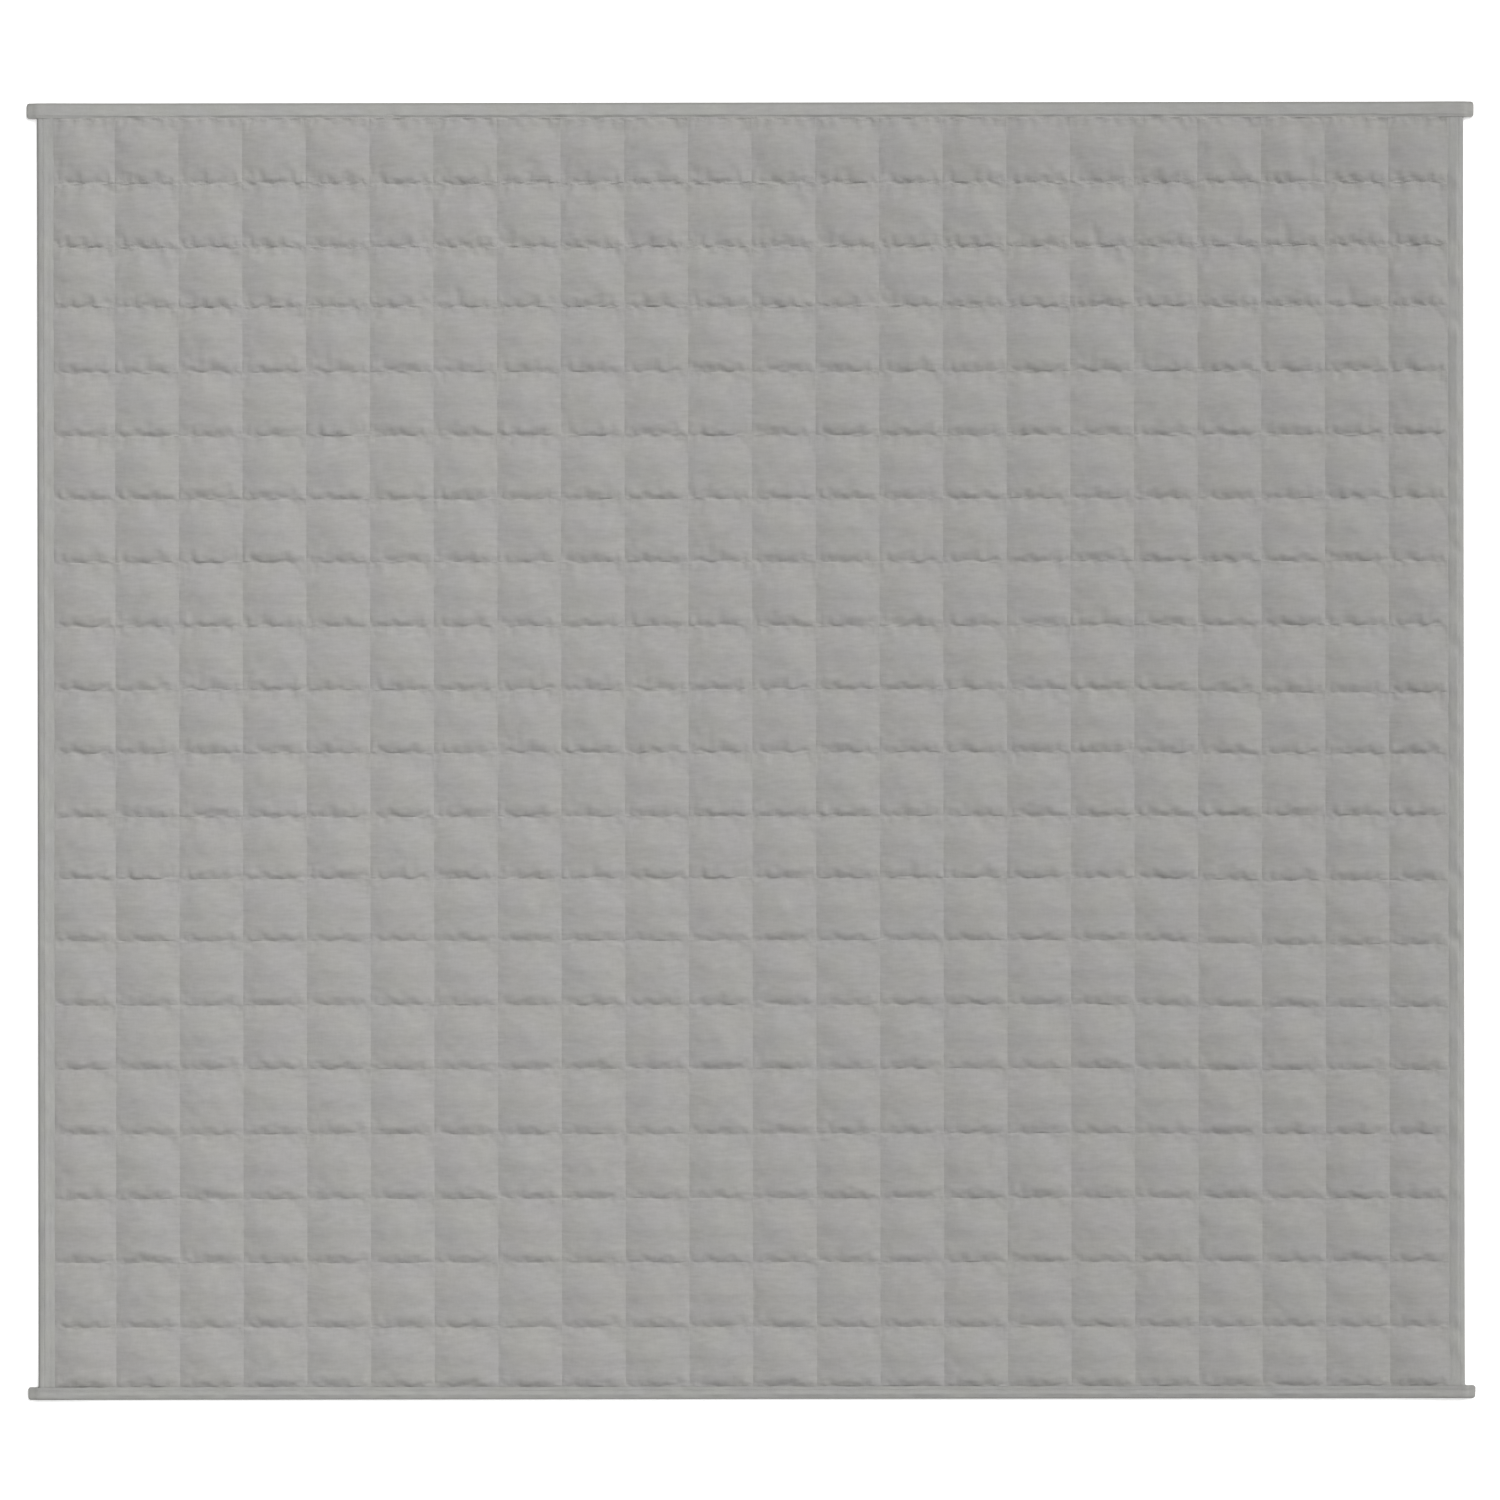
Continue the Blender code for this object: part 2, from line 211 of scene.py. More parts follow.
# %% [markdown]
# ## How a cushion swells
# The fill has settled towards the foot of each cell, so a cushion climbs slowly from the seam above it and
# drops steeply to the seam below. Along the row seams the cloth is a little longer than the thread that
# holds it, so it puckers there. Folds like that are hard to draw and easy to simulate: 48 cells are cut
# as one patch, pinned along every seam, blown up with a little pressure, and given extra cloth next to the
# row seams. Since the seams don't move, each simulated cell can then be used anywhere in the blanket.

# %% Stations across one cell
STEPS = 24  # grid steps across a cell, each way
UNDER_EVERY = 2  # the underside uses every second one
CROWD_COLUMNS, CROWD_ROWS = 0.25, 0.5  # how much the steps crowd towards the seams
SEED = 20


def crowded(crowd):
    """Places from 0 to 1: even steps, less a sine, so that they lie closer together at both ends."""
    even = np.linspace(0, 1, STEPS + 1)
    return even - crowd * np.sin(2 * pi * even) / (2 * pi)


across, down = crowded(CROWD_COLUMNS), crowded(CROWD_ROWS)
random = np.random.default_rng(SEED)


def soft_noise(rows, columns, knots_down, knots_across):
    """Smooth random waves on a grid: random numbers at a few knots, with a smooth step between them."""
    knots = random.normal(size=(knots_down + 2, knots_across + 2))
    y, x = np.linspace(0, knots_down, rows)[:, None], np.linspace(0, knots_across, columns)[None, :]
    y0, x0 = y.astype(int), x.astype(int)
    y, x = y - y0, x - x0
    y, x = y * y * (3 - 2 * y), x * x * (3 - 2 * x)
    upper = knots[y0, x0] * (1 - x) + knots[y0, x0 + 1] * x
    lower = knots[y0 + 1, x0] * (1 - x) + knots[y0 + 1, x0 + 1] * x
    return upper * (1 - y) + lower * y


# Places down a cell, as shares of it
CLIMB_START, HEAD_RISE = -0.04, 0.50  # it climbs between these: the curve starts a little above the seam
SETTLE_FROM, SETTLE_TO, SETTLE = 0.40, 0.74, 0.20  # then it sinks, from here to here, by this share
SHOULDER, MESSY_SHOULDER, DROP_ROUND = 0.845, 0.83, 1.75  # where it starts to drop to its foot, how roundly
DROP_END = 0.996  # and where it is down
ROUND_ACROSS, SQUARE_ACROSS = 1.30, 0.50


def smooth_step(value, start, end):
    """0 before start, 1 after end, and between them 3t^2 - 2t^3."""
    t = np.clip((value - start) / (end - start), 0, 1)
    return t * t * (3 - 2 * t)


def cushion(u, v, shoulder):
    """A cell's height from 0 to 1. Across, a rounded hump that grows squarer towards the foot, with the cube
    of v. Down, a smooth climb up to HEAD_RISE, a slight sinking, and from the shoulder a steep drop."""
    over = (4 * u * (1 - u)) ** (ROUND_ACROSS + (SQUARE_ACROSS - ROUND_ACROSS) * v ** 3)
    climb = smooth_step(v, CLIMB_START, HEAD_RISE) - smooth_step(0, CLIMB_START, HEAD_RISE)
    sink = 1 - SETTLE * smooth_step(v, SETTLE_FROM, SETTLE_TO)
    drop = 1 - np.clip((v - shoulder) / (DROP_END - shoulder), 0, 1) ** DROP_ROUND
    return over * climb * sink * drop


print("steps next to a seam are", np.round(across[1] * COLUMN_PITCH / MM, 1), "mm across,",
      np.round(down[1] * ROW_PITCH / MM, 1), "mm down")

# %% Cut the patch
PATCH_COLUMNS, PATCH_ROWS = 8, 6
KINDS = np.array([0, 1, 2, 2, 3, 3])  # of each row: 0 is under the head tape, 1 near it, 3 near the foot
FIRST_NEAT_KIND = 2
CROWN = 0.0070
LUMP, LUMP_KNOTS = 0.08, 3  # share of the height, and knots to a cell
RIPPLE, RIPPLE_KNOTS = 0.0003, 8
PUCKER = np.array([0.0009, 0.0009, 0.0009, 0.0004])  # for each kind: the rows near the foot are smoother
PUCKER_ROWS, PUCKER_COLUMNS, PUCKER_REACH = 2, 12, 0.012


def patch_axis(count, stations):
    """The stations of several cells in a row, counted in cells."""
    return np.concatenate([cell + stations[:-1] for cell in range(count)] + [[count]])


def from_seam(share):
    """Distance to the nearer seam, in cells."""
    return np.minimum(share, 1 - share)


patch_x, patch_y = patch_axis(PATCH_COLUMNS, across), patch_axis(PATCH_ROWS, down)
patch_shape = (len(patch_y), len(patch_x))
u, v = (axis.copy() for axis in np.meshgrid(patch_x % 1, patch_y % 1))
on_seam = (from_seam(u) < TINY) | (from_seam(v) < TINY)
lumps = 1 + LUMP * soft_noise(*patch_shape, PATCH_ROWS * LUMP_KNOTS, PATCH_COLUMNS * LUMP_KNOTS)
ripples = RIPPLE * soft_noise(*patch_shape, PATCH_ROWS * RIPPLE_KNOTS, PATCH_COLUMNS * RIPPLE_KNOTS)
kind = KINDS[np.minimum(patch_y.astype(int), PATCH_ROWS - 1)][:, None]
puckers = PUCKER[kind] * soft_noise(
    *patch_shape, PATCH_ROWS * PUCKER_ROWS + 1, PATCH_COLUMNS * PUCKER_COLUMNS)
puckers *= np.exp(-from_seam(v) * ROW_PITCH / PUCKER_REACH)
shoulder = np.where(kind < FIRST_NEAT_KIND, MESSY_SHOULDER, SHOULDER)
start_z = np.where(on_seam, 0, CROWN * cushion(u, v, shoulder) * lumps + ripples + puckers)
flat_x, flat_y = np.meshgrid(patch_x * COLUMN_PITCH, -patch_y * ROW_PITCH)
patch = np.stack([flat_x, flat_y, start_z], -1)
print("patch of", PATCH_COLUMNS * PATCH_ROWS, "cells,", flat_x.size, "points")

# %% Blow it up
# For each kind of row, how much longer the cloth is just above the seam at a cell's foot, and just below
# the one at its head
EXTRA_ABOVE = np.array([0.036, 0.036, 0.020, 0.013])
EXTRA_BELOW = np.array([0.040, 0.028, 0.012, 0.006])
EXTRA_ALL = 0.002
REACH_ABOVE = np.array([0.010, 0.010, 0.009, 0.008])
REACH_BELOW = np.array([0.008, 0.008, 0.006, 0.006])
SEAM_FADE = 8.0
WEIGHT_LEVELS = 40
FRAMES = 20
PRESSURE = 1.6


def grid_quads(rows, columns, first=0):
    """The four corners of each face of a grid of points, from its head down, turned up."""
    at = first + np.arange(rows * columns).reshape(rows, columns)
    return np.stack([at[1:, :-1], at[1:, 1:], at[:-1, 1:], at[:-1, :-1]], -1).reshape(-1, 4)


def extra_cloth():
    """How much longer the cloth is than its place, as a share: it falls off away from the row seams, and
    fades out at the column seams."""
    above = EXTRA_ABOVE[kind] * np.exp(-(1 - v) * ROW_PITCH / REACH_ABOVE[kind])
    below = EXTRA_BELOW[kind] * np.exp(-v * ROW_PITCH / REACH_BELOW[kind])
    return np.maximum(above, below) * np.clip(from_seam(u) * SEAM_FADE, 0, 1)


def simulate(points):
    """Blender's cloth on a grid of points, pinned at its seams. Returns the grid where it comes to rest."""
    rows, columns = points.shape[:2]
    mesh = bpy.data.meshes.new("patch")
    mesh.from_pydata(points.reshape(-1, 3), [], grid_quads(rows, columns))
    cloth_patch = bpy.data.objects.new("patch", mesh)
    scene.collection.objects.link(cloth_patch)
    pins = cloth_patch.vertex_groups.new(name="pins")
    pins.add(np.flatnonzero(on_seam).tolist(), 1.0, "REPLACE")
    spare = cloth_patch.vertex_groups.new(name="spare")
    most = max(EXTRA_ABOVE.max(), EXTRA_BELOW.max())
    level = np.round((1 - extra_cloth() / most).ravel() * WEIGHT_LEVELS).astype(int)
    for step in np.unique(level):
        spare.add(np.flatnonzero(level == step).tolist(), step / WEIGHT_LEVELS, "REPLACE")

    cloth = cloth_patch.modifiers.new("cloth", "CLOTH")
    cloth.collision_settings.use_collision = False
    cloth.point_cache.frame_start, cloth.point_cache.frame_end = 1, FRAMES
    settings = cloth.settings
    settings.quality = 6
    settings.mass = 0.02
    settings.tension_stiffness = settings.compression_stiffness = 15
    settings.shear_stiffness = 5
    settings.bending_stiffness = 0.2
    settings.vertex_group_mass, settings.pin_stiffness = "pins", 50
    settings.vertex_group_shrink = "spare"
    settings.shrink_min, settings.shrink_max = -most, -EXTRA_ALL
    settings.use_pressure, settings.uniform_pressure_force = True, PRESSURE
    settings.effector_weights.gravity = 0
    for number in range(1, FRAMES + 1):
        scene.frame_set(number)

    settled = cloth_patch.evaluated_get(bpy.context.evaluated_depsgraph_get()).data
    found = np.empty(rows * columns * 3, np.float32)
    settled.vertices.foreach_get("co", found)
    bpy.data.objects.remove(cloth_patch)
    scene.frame_set(1)
    return found.reshape(rows, columns, 3).astype(float)


settled_patch = simulate(patch)
swell = settled_patch - np.stack([flat_x, flat_y, np.zeros(patch_shape)], -1)
swell[on_seam] = 0
samples = np.stack([
    swell[row * STEPS:(row + 1) * STEPS + 1, column * STEPS:(column + 1) * STEPS + 1]
    for row in range(PATCH_ROWS) for column in range(PATCH_COLUMNS)
])
samples = np.concatenate([samples, samples[:, :, ::-1] * (-1, 1, 1)])  # and their mirror images
sample_kind = np.tile(np.repeat(KINDS, PATCH_COLUMNS), 2)
print(len(samples), "sample cells, crowns from", np.round(samples[..., 2].max((1, 2)).min() / MM, 1),
      "to", np.round(samples[..., 2].max() / MM, 1), "mm")

# %% [markdown]
# ## The quilt
# Each of the 440 cells takes one of the samples, at random, fitted between its own four seams. The whole
# face is then one grid of points. The underside is flat where it rests, and lifts a little at the seams.
# At the raw edge the two sheets are pressed into a thin margin that the tape covers. One mesh with every
# fold in it would be too heavy for some tools, so the quilt is cut into four bands of five rows, along
# row seams, where a cut doesn't show.

# %% Where each point of the face lies
NEAR_HEAD, NEAR_FOOT = 3, 12  # rows of the second kind end, and rows of the last kind start, here
EDGE_SWELL = 0.0012  # the outermost seams stand this much above the margin
SEAM_RISE = 0.0004  # the row seams ride up this much between two column seams
SEAM_WOBBLE_Y, SEAM_WOBBLE_Z = 0.0003, 0.0004
WOBBLE_KNOTS_Y, WOBBLE_KNOTS_Z = 5, 6  # to a cell
WOBBLE_REACH = 0.010
FACE_LUMP = 0.0003
FILL_WAVES = ((0.05, 2.3, 1.1), (0.04, -0.9, 1.7))  # share of the height, radians to a column and to a row

face_shape = (ROWS * STEPS + 1, COLUMNS * STEPS + 1)
column_at, row_at = patch_axis(COLUMNS, across), patch_axis(ROWS, down)
column, row = np.minimum(column_at.astype(int), COLUMNS - 1), np.minimum(row_at.astype(int), ROWS - 1)
u, v = (column_at - column)[None, :], (row_at - row)[:, None]
bow = 4 * u * (1 - u)


def between(corners):
    """A value at every point of the face, from one at each seam crossing: straight lines both ways."""
    c = corners[:, column] * (1 - u) + corners[:, column + 1] * u
    return c[row] * (1 - v) + c[row + 1] * v


def fill_share():
    """How full each cell is, near 1: two waves that don't line up with the grid, as in the solids."""
    i, j = np.meshgrid(np.arange(COLUMNS), np.arange(ROWS))
    return 1 + sum(share * np.sin(per_column * i + per_row * j) for share, per_column, per_row in FILL_WAVES)


def spread(blocks):
    """Cells of points, laid side by side as one grid. The seams at the far ends are added as zeros."""
    inner = blocks[:, :, :STEPS, :STEPS].transpose(0, 2, 1, 3, 4).reshape(ROWS * STEPS, COLUMNS * STEPS, 3)
    return np.pad(inner, ((0, 1), (0, 1), (0, 0)))


row_kind = 1 + (np.arange(ROWS) >= NEAR_HEAD) + (np.arange(ROWS) >= NEAR_FOOT)
row_kind[0] = 0
pick = np.stack([random.choice(np.flatnonzero(sample_kind == kind), COLUMNS) for kind in row_kind])
swollen = spread(samples[pick] * np.stack([
    np.broadcast_to(np.diff(column_seams) / COLUMN_PITCH, (ROWS, COLUMNS)),
    -np.diff((row_seams[:, 1:] + row_seams[:, :-1]) / 2, axis=0) / ROW_PITCH,
    fill_share(),
], -1)[:, :, None, None, :])

edge_count = np.zeros((ROWS + 1, COLUMNS + 1))
edge_count[[0, -1]] += 1
edge_count[:, [0, -1]] += 1
lift = edge_count * MARGIN_LIFT
crossing_top = np.where(edge_count > 0, lift + MARGIN_THICKNESS + EDGE_SWELL, SEAM_TOP)
crossing_under = np.where(edge_count > 0, lift, SEAM_UNDER)

inner_seam = (edge_count[:, 1] == 0)[:, None]  # the row seams that aren't under a tape
seam_y = row_seams[:, column] * (1 - u) + row_seams[:, column + 1] * u - SEAM_SAG * bow * inner_seam
seam_y = seam_y + SEAM_WOBBLE_Y * inner_seam * soft_noise(
    ROWS + 1, face_shape[1], ROWS + 1, COLUMNS * WOBBLE_KNOTS_Y)
seam_z = inner_seam * (SEAM_RISE * bow + SEAM_WOBBLE_Z * bow * soft_noise(
    ROWS + 1, face_shape[1], ROWS + 1, COLUMNS * WOBBLE_KNOTS_Z))
near_above, near_below = (np.exp(-share * ROW_PITCH / WOBBLE_REACH) for share in (v, 1 - v))
tent = from_seam(u) * from_seam(v) * 4

face_x = np.broadcast_to(column_seams[column] * (1 - u) + column_seams[column + 1] * u, face_shape)
face_y = seam_y[row] * (1 - v) + seam_y[row + 1] * v
face = np.stack([face_x, face_y, between(crossing_top)], -1) + swollen
face[..., 2] += seam_z[row] * near_above + seam_z[row + 1] * near_below
face[..., 2] += FACE_LUMP * tent * soft_noise(*face_shape, ROWS * LUMP_KNOTS, COLUMNS * LUMP_KNOTS)
print("face", face_shape, "points, heights", np.round(face[..., 2].min() / MM, 1), "to",
      np.round(face[..., 2].max() / MM, 1), "mm")

# %% The underside, and how far each point is from a seam
UNDER_INSET, UNDER_ROUND = 0.14, 1.5  # over what share of a cell the underside comes down, how roundly
to_seam = np.minimum(from_seam(u), from_seam(v))
resting = np.clip(1 - to_seam / UNDER_INSET, 0, 1) ** UNDER_ROUND
under = np.stack([face_x, face_y, between(crossing_under) * resting], -1)
from_column = np.broadcast_to(from_seam(u) * COLUMN_PITCH, face_shape)
from_row = np.broadcast_to(from_seam(v) * ROW_PITCH, face_shape)
print("underside rests on", round(float((under[..., 2] == 0).mean()) * 100), "% of its points")

# %% A mesh from whole arrays


def new_piece(name, points, faces, uv, values=None):
    """An object whose mesh takes its points (n, 3), its faces (a list of arrays, one row of point numbers
    for each face), a place on the cloth for each point (n, 2, in metres), and named values for each point."""
    mesh = bpy.data.meshes.new(name)
    corners = np.concatenate([face.ravel() for face in faces]).astype(np.int32)
    sizes = np.concatenate([np.full(len(face), face.shape[1]) for face in faces])
    mesh.vertices.add(len(points))
    mesh.vertices.foreach_set("co", np.asarray(points, np.float32).ravel())
    mesh.loops.add(len(corners))
    mesh.loops.foreach_set("vertex_index", corners)
    mesh.polygons.add(len(sizes))
    mesh.polygons.foreach_set("loop_start", (sizes.cumsum() - sizes).astype(np.int32))
    mesh.update(calc_edges=True)
    mesh.uv_layers.new(name="cloth").data.foreach_set("uv", np.asarray(uv, np.float32)[corners].ravel())
    for key, value in (values or {}).items():
        mesh.attributes.new(key, "FLOAT", "POINT").data.foreach_set("value", np.asarray(value, np.float32))
    mesh.shade_smooth()
    piece = bpy.data.objects.new(name, mesh)
    scene.collection.objects.link(piece)
    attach(piece, "root")
    return piece


def tidy_normals(piece):
    """Turns every face outwards."""
    tidy = bmesh.new()
    tidy.from_mesh(piece.data)
    bmesh.ops.recalc_face_normals(tidy, faces=tidy.faces)
    tidy.to_mesh(piece.data)
    tidy.free()


def mark_sharp(piece, chosen):
    """Breaks the smooth shading along edges. chosen takes the two ends' point numbers and says which."""
    edges = np.empty(len(piece.data.edges) * 2, np.int32)
    piece.data.edges.foreach_get("vertices", edges)
    sharp = piece.data.attributes.new("sharp_edge", "BOOLEAN", "EDGE")
    sharp.data.foreach_set("value", chosen(*edges.reshape(-1, 2).T))


def around(rows, columns):
    """The rim of a grid as (row, column) pairs, anticlockwise from its foot's left end as seen from above."""
    r, c = np.arange(rows), np.arange(columns)
    return np.concatenate([
        np.stack([np.full(columns - 1, rows - 1), c[:-1]], -1),
        np.stack([r[:0:-1], np.full(rows - 1, columns - 1)], -1),
        np.stack([np.zeros(columns - 1, int), c[:0:-1]], -1),
        np.stack([r[:-1], np.zeros(rows - 1, int)], -1),
    ])


# %% Cut the quilt into bands
BANDS = 4
SAME_LINE = 0.0001  # an edge runs along a column seam if its ends are no further apart across


def padded_grid(grid, beyond, swell):
    """grid with one more line of points on each side that beyond names, pressed level: the margin."""
    for side, (axis, index, place) in beyond.items():
        line = np.take(grid, [index], axis=axis).copy()
        line[..., 1 - axis] = place
        line[..., 2] -= swell
        grid = np.concatenate([line, grid] if index == 0 else [grid, line], axis=axis)
    return grid


def make_band(number):
    """Five rows of cells as one closed body: the face, the underside on every second line, and a wall
    round both. Between a fine rim and a coarse one the wall is a zigzag of triangles."""
    lines = slice(number * ROWS // BANDS * STEPS, (number + 1) * ROWS // BANDS * STEPS + 1)
    beyond = {"left": (1, 0, -MARGIN_SIDE), "right": (1, -1, MARGIN_SIDE)}
    if number == 0:
        beyond["head"] = (0, 0, MARGIN_END)
    if number == BANDS - 1:
        beyond["foot"] = (0, -1, -MARGIN_END)
    keep_column = np.arange(0, face_shape[1], UNDER_EVERY)
    keep_row = np.arange(0, lines.stop - lines.start, UNDER_EVERY)
    parts = [
        (face[lines], from_column[lines], from_row[lines]),
        tuple(grid[lines][keep_row][:, keep_column] for grid in (under, from_column, from_row)),
    ]
    top, below = (
        padded_grid(np.concatenate([places, to_column[..., None], to_row[..., None]], -1), beyond, swell)
        for (places, to_column, to_row), swell in zip(parts, (EDGE_SWELL, 0)))
    points = np.concatenate([top.reshape(-1, 5), below.reshape(-1, 5)])
    places, to_column, to_row = points[:, :3], points[:, 3], points[:, 4]

    first_row, first_column = int(number == 0), 1
    rim = around(*top.shape[:2])
    last = np.array(below.shape[:2]) - 1
    halved = np.array([
        np.where(rim[:, axis] < first, 0, first + (rim[:, axis] - first) // UNDER_EVERY)
        for axis, first in ((0, first_row), (1, first_column))
    ]).T
    halved = np.where(rim == np.array(top.shape[:2]) - 1, last, halved)
    upper = rim @ (top.shape[1], 1)
    lower = top.shape[0] * top.shape[1] + halved @ (below.shape[1], 1)
    next_upper, next_lower = np.roll(upper, -1), np.roll(lower, -1)
    steps = lower != next_lower
    faces = [
        grid_quads(*top.shape[:2]),
        grid_quads(*below.shape[:2], first=top.shape[0] * top.shape[1])[:, ::-1],
        np.stack([upper, lower, next_upper], -1),
        np.stack([lower, next_lower, next_upper], -1)[steps],
    ]
    band = new_piece(
        f"quilt_band_{number + 1}", places, faces, places[:, :2],
        {"from_column": to_column, "from_row": to_row},
    )
    mark_sharp(band, lambda a, b: (
        (to_column[a] + to_column[b] < TINY) & (abs(places[a, 0] - places[b, 0]) < SAME_LINE)
        | (to_row[a] + to_row[b] < TINY)))
    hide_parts("quilt")
    return band


bands = [make_band(number) for number in range(BANDS)]
for band in bands:
    print(band.name, sum(len(face.vertices) - 2 for face in band.data.polygons), "triangles")

# %% [markdown]
# ## The tape
# The tape is a strip of the same cloth, folded over the raw edge. Seen across, it is a letter U lying on
# its side: a flat lower leaf, a round fold, and an upper leaf with a low ridge, dented where the needle
# went along it. That section is a curve, and the tape is the curve carried along the edge. It ripples a
# little along its length. Where the head and foot tapes cross a side tape they are a layer higher, and
# their ends are tucked in and stand out past the side.

# %% The section
DENT_WIDTH = 0.0010
DENT_STEPS = np.array([-2.0, -1.2, -0.6, 0.0, 0.6, 1.2, 2.0])  # points across the dent, in its widths
LEAF_STEPS = 12
FOLD_TURNS = np.linspace(-pi / 2, pi / 2, 9)  # from the lower leaf round to the upper one
FOLD_DEPTH = 0.0042
RIDGE_BULGE = 0.3
LOWER_PLACES = np.array([0.0, 0.5])
PRESSED_EDGE, PRESSED_THICKNESS = 0.005, 0.00025
EDGE_RISE_REACH = 0.009  # how far back from its edge the upper leaf rides up on the swell beside it
EDGE_RISE_ROUND = 1.5
TAPE_STEP = 0.005
# Each tape: the width of the flat strip, the ridge's height and its distance from the fold, the dent's
# distance from the fold and its depth, how far the edge rides up, how far before the tape's end the
# stitches stop, and how strongly painted shade darkens the fold, as a share
TAPES = {
    "binding_left": {
        "flat": 0.055, "crest": 0.0014, "ridge": 0.0120, "dent": 0.0092, "depth": 0.0003, "rise": 0.0015,
        "end": 0.020, "painted_fold_shade": 0.85,
    },
    "binding_right": {
        "flat": 0.055, "crest": 0.0025, "ridge": 0.0116, "dent": 0.0082, "depth": 0.0003, "rise": 0.0,
        "end": 0.020, "painted_fold_shade": 0.0,
    },
    "binding_head": {
        "flat": 0.051, "crest": 0.0012, "ridge": 0.0198, "dent": 0.0205, "depth": 0.0001, "rise": 0.0,
        "end": 0.004, "painted_fold_shade": 1.0,
    },
    "binding_foot": {
        "flat": 0.043, "crest": 0.0012, "ridge": 0.0085, "dent": 0.0145, "depth": 0.0002, "rise": 0.0021,
        "end": 0.004, "painted_fold_shade": 0.3,
    },
}


def ridge(from_fold, width, ridge_place):
    """The upper leaf's extra height, from 0 to 1: nearly straight up from the fold to the ridge, and straight
    down to the sewn edge."""
    up = np.clip((from_fold - FOLD_DEPTH) / (ridge_place - FOLD_DEPTH), 0, 1)
    down = np.clip((from_fold - ridge_place) / (width - ridge_place), 0, 1)
    return np.where(from_fold < ridge_place, up * (1 + RIDGE_BULGE - RIDGE_BULGE * up), 1 - down)


def tape_paths(width, height, crest, lift, start, ripple, sewing):
    """Outer and inner outline at every station, as arrays (station, point, 2) of distance from the sewn edge
    and height: along the lower leaf, round the fold as half an ellipse, and back along the upper leaf. A
    narrow bell dents the upper leaf where it is sewn, and its edge is pressed thin."""
    fold = width - FOLD_DEPTH
    lower = LOWER_PLACES * fold
    dent_places = width.mean() - sewing["dent"] + DENT_STEPS * DENT_WIDTH
    shares = np.sort(np.concatenate([np.linspace(0, 1, LEAF_STEPS + 1)[:-1], dent_places / fold.mean()]))
    upper = (shares * fold)[:, ::-1]
    from_fold = width - upper
    raised = (crest + ripple) * ridge(from_fold, width, sewing["ridge"])
    raised -= sewing["depth"] * np.exp(-((from_fold - sewing["dent"]) / DENT_WIDTH) ** 2)
    raised += sewing["rise"] * np.clip(1 - upper / EDGE_RISE_REACH, 0, 1) ** EDGE_RISE_ROUND
    thickness = np.interp(upper, [0, PRESSED_EDGE], [PRESSED_THICKNESS, TAPE_THICKNESS])
    paths = []
    for skin in (0.0, TAPE_THICKNESS):
        out = np.concatenate([lower, fold + (FOLD_DEPTH - skin) * np.cos(FOLD_TURNS), upper], 1)
        leaf = height - TAPE_THICKNESS + raised + (thickness if skin == 0 else 0)
        fold_up = height / 2 + (height / 2 - skin) * np.sin(FOLD_TURNS)
        up = np.concatenate([lower * 0 + skin, fold_up, leaf], 1)
        paths.append(np.stack([start + out, lift + up], -1))
    return paths


print("the section has", len(LOWER_PLACES) + len(FOLD_TURNS) + len(DENT_STEPS) + LEAF_STEPS, "points a side")

# %% The tape's mesh
EDGE_WAVE, EDGE_WAVE_KNOTS = 0.0005, 160
RIDGE_WAVE, RIDGE_WAVE_KNOTS = 0.45, 120  # share of the ridge's height
LEAST_CREST = 0.0007  # a tape pressed flatter than this has a straight edge
PAINTED_SHADE_WIDTH = 0.0050  # painted shade: the tape's colour darkens over this width from its fold
SHARP_FOLD = radians(50)


def strip(a, b):
    """Quads between two arrays of point numbers, station by station."""
    return np.stack([a[:-1], a[1:], b[1:], b[:-1]], -1).reshape(-1, 4)


def random_wave(along, knots):
    """Straight lines between random numbers, evenly spaced from the tape's one end to its other."""
    return np.interp(along, np.linspace(along[0], along[-1], knots), random.normal(size=knots))


